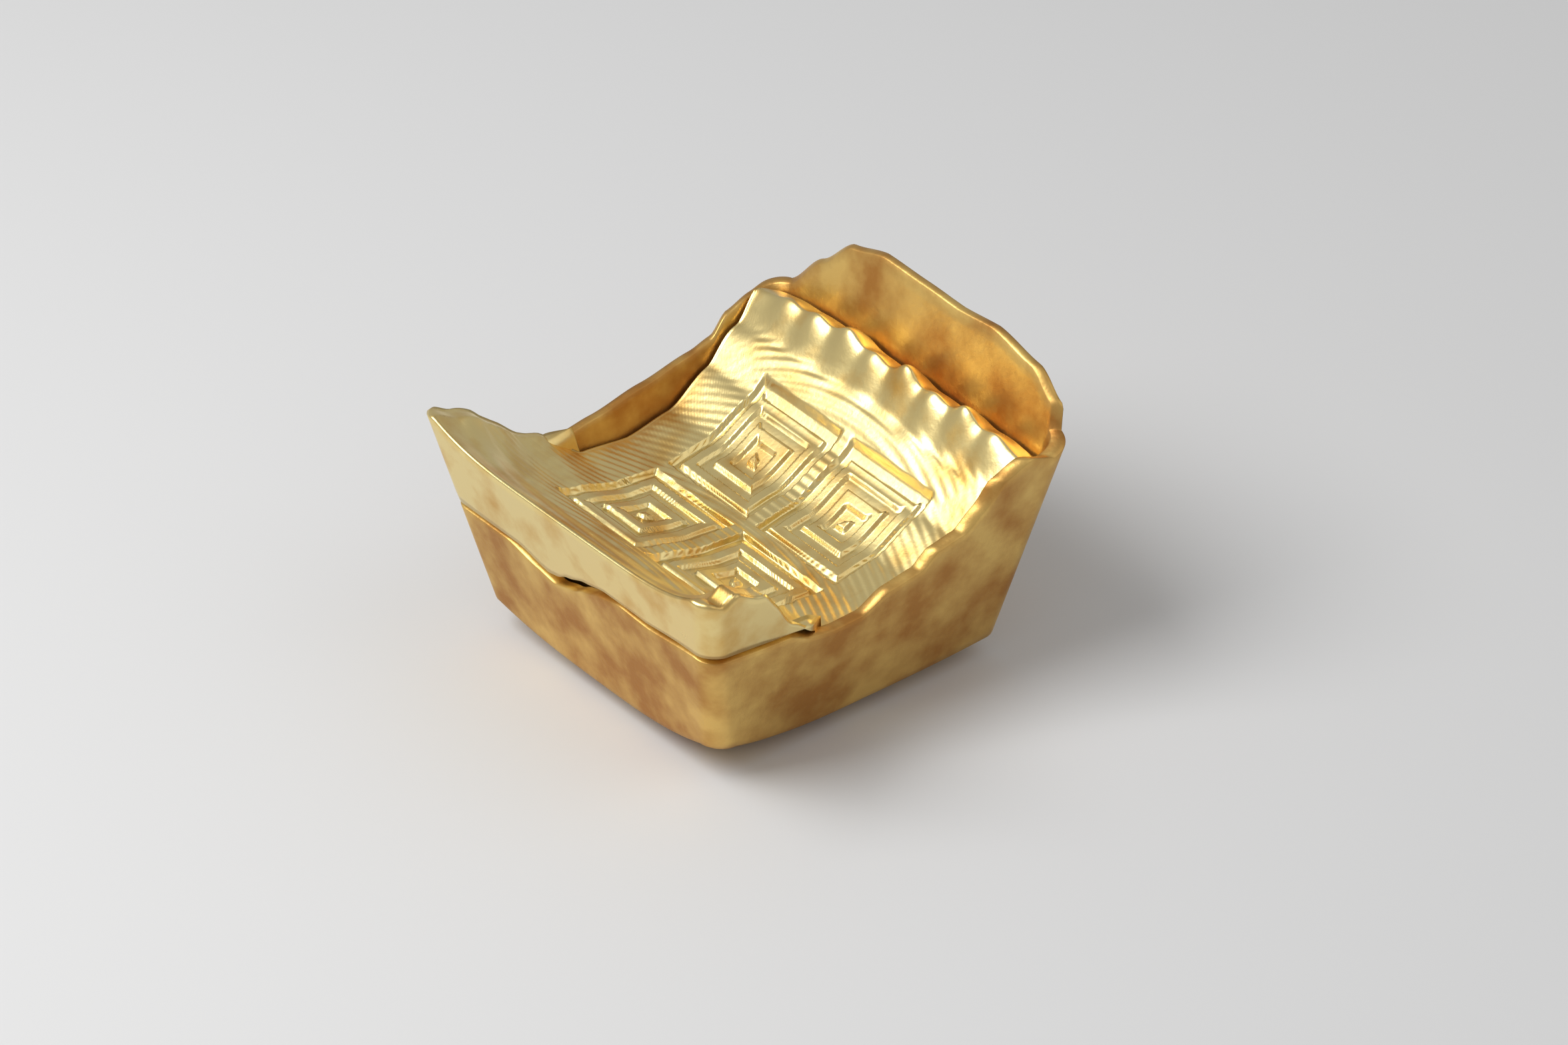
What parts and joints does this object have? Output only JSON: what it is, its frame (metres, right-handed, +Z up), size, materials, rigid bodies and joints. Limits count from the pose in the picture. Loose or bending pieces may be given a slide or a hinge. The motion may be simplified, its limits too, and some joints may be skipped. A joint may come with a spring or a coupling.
{
  "type": "gold sycee ingot",
  "caption": "Square saddle-shaped cast gold sycee ingot with flared sides, a tall thin ear and pressed square panels on top.",
  "frame": {"origin": "centre of the flat resting pad under the base", "axes": "+Z up out of the base, +X from the low end towards the tall ear"},
  "size_m": [0.0337, 0.0325, 0.023],
  "materials": {
    "shell_gold": "satin",
    "slab_gold": "polished"
  },
  "bodies": {
    "root": {"outer_shell": "shell_gold", "stamped_slab": "slab_gold"}
  },
  "joints": []
}
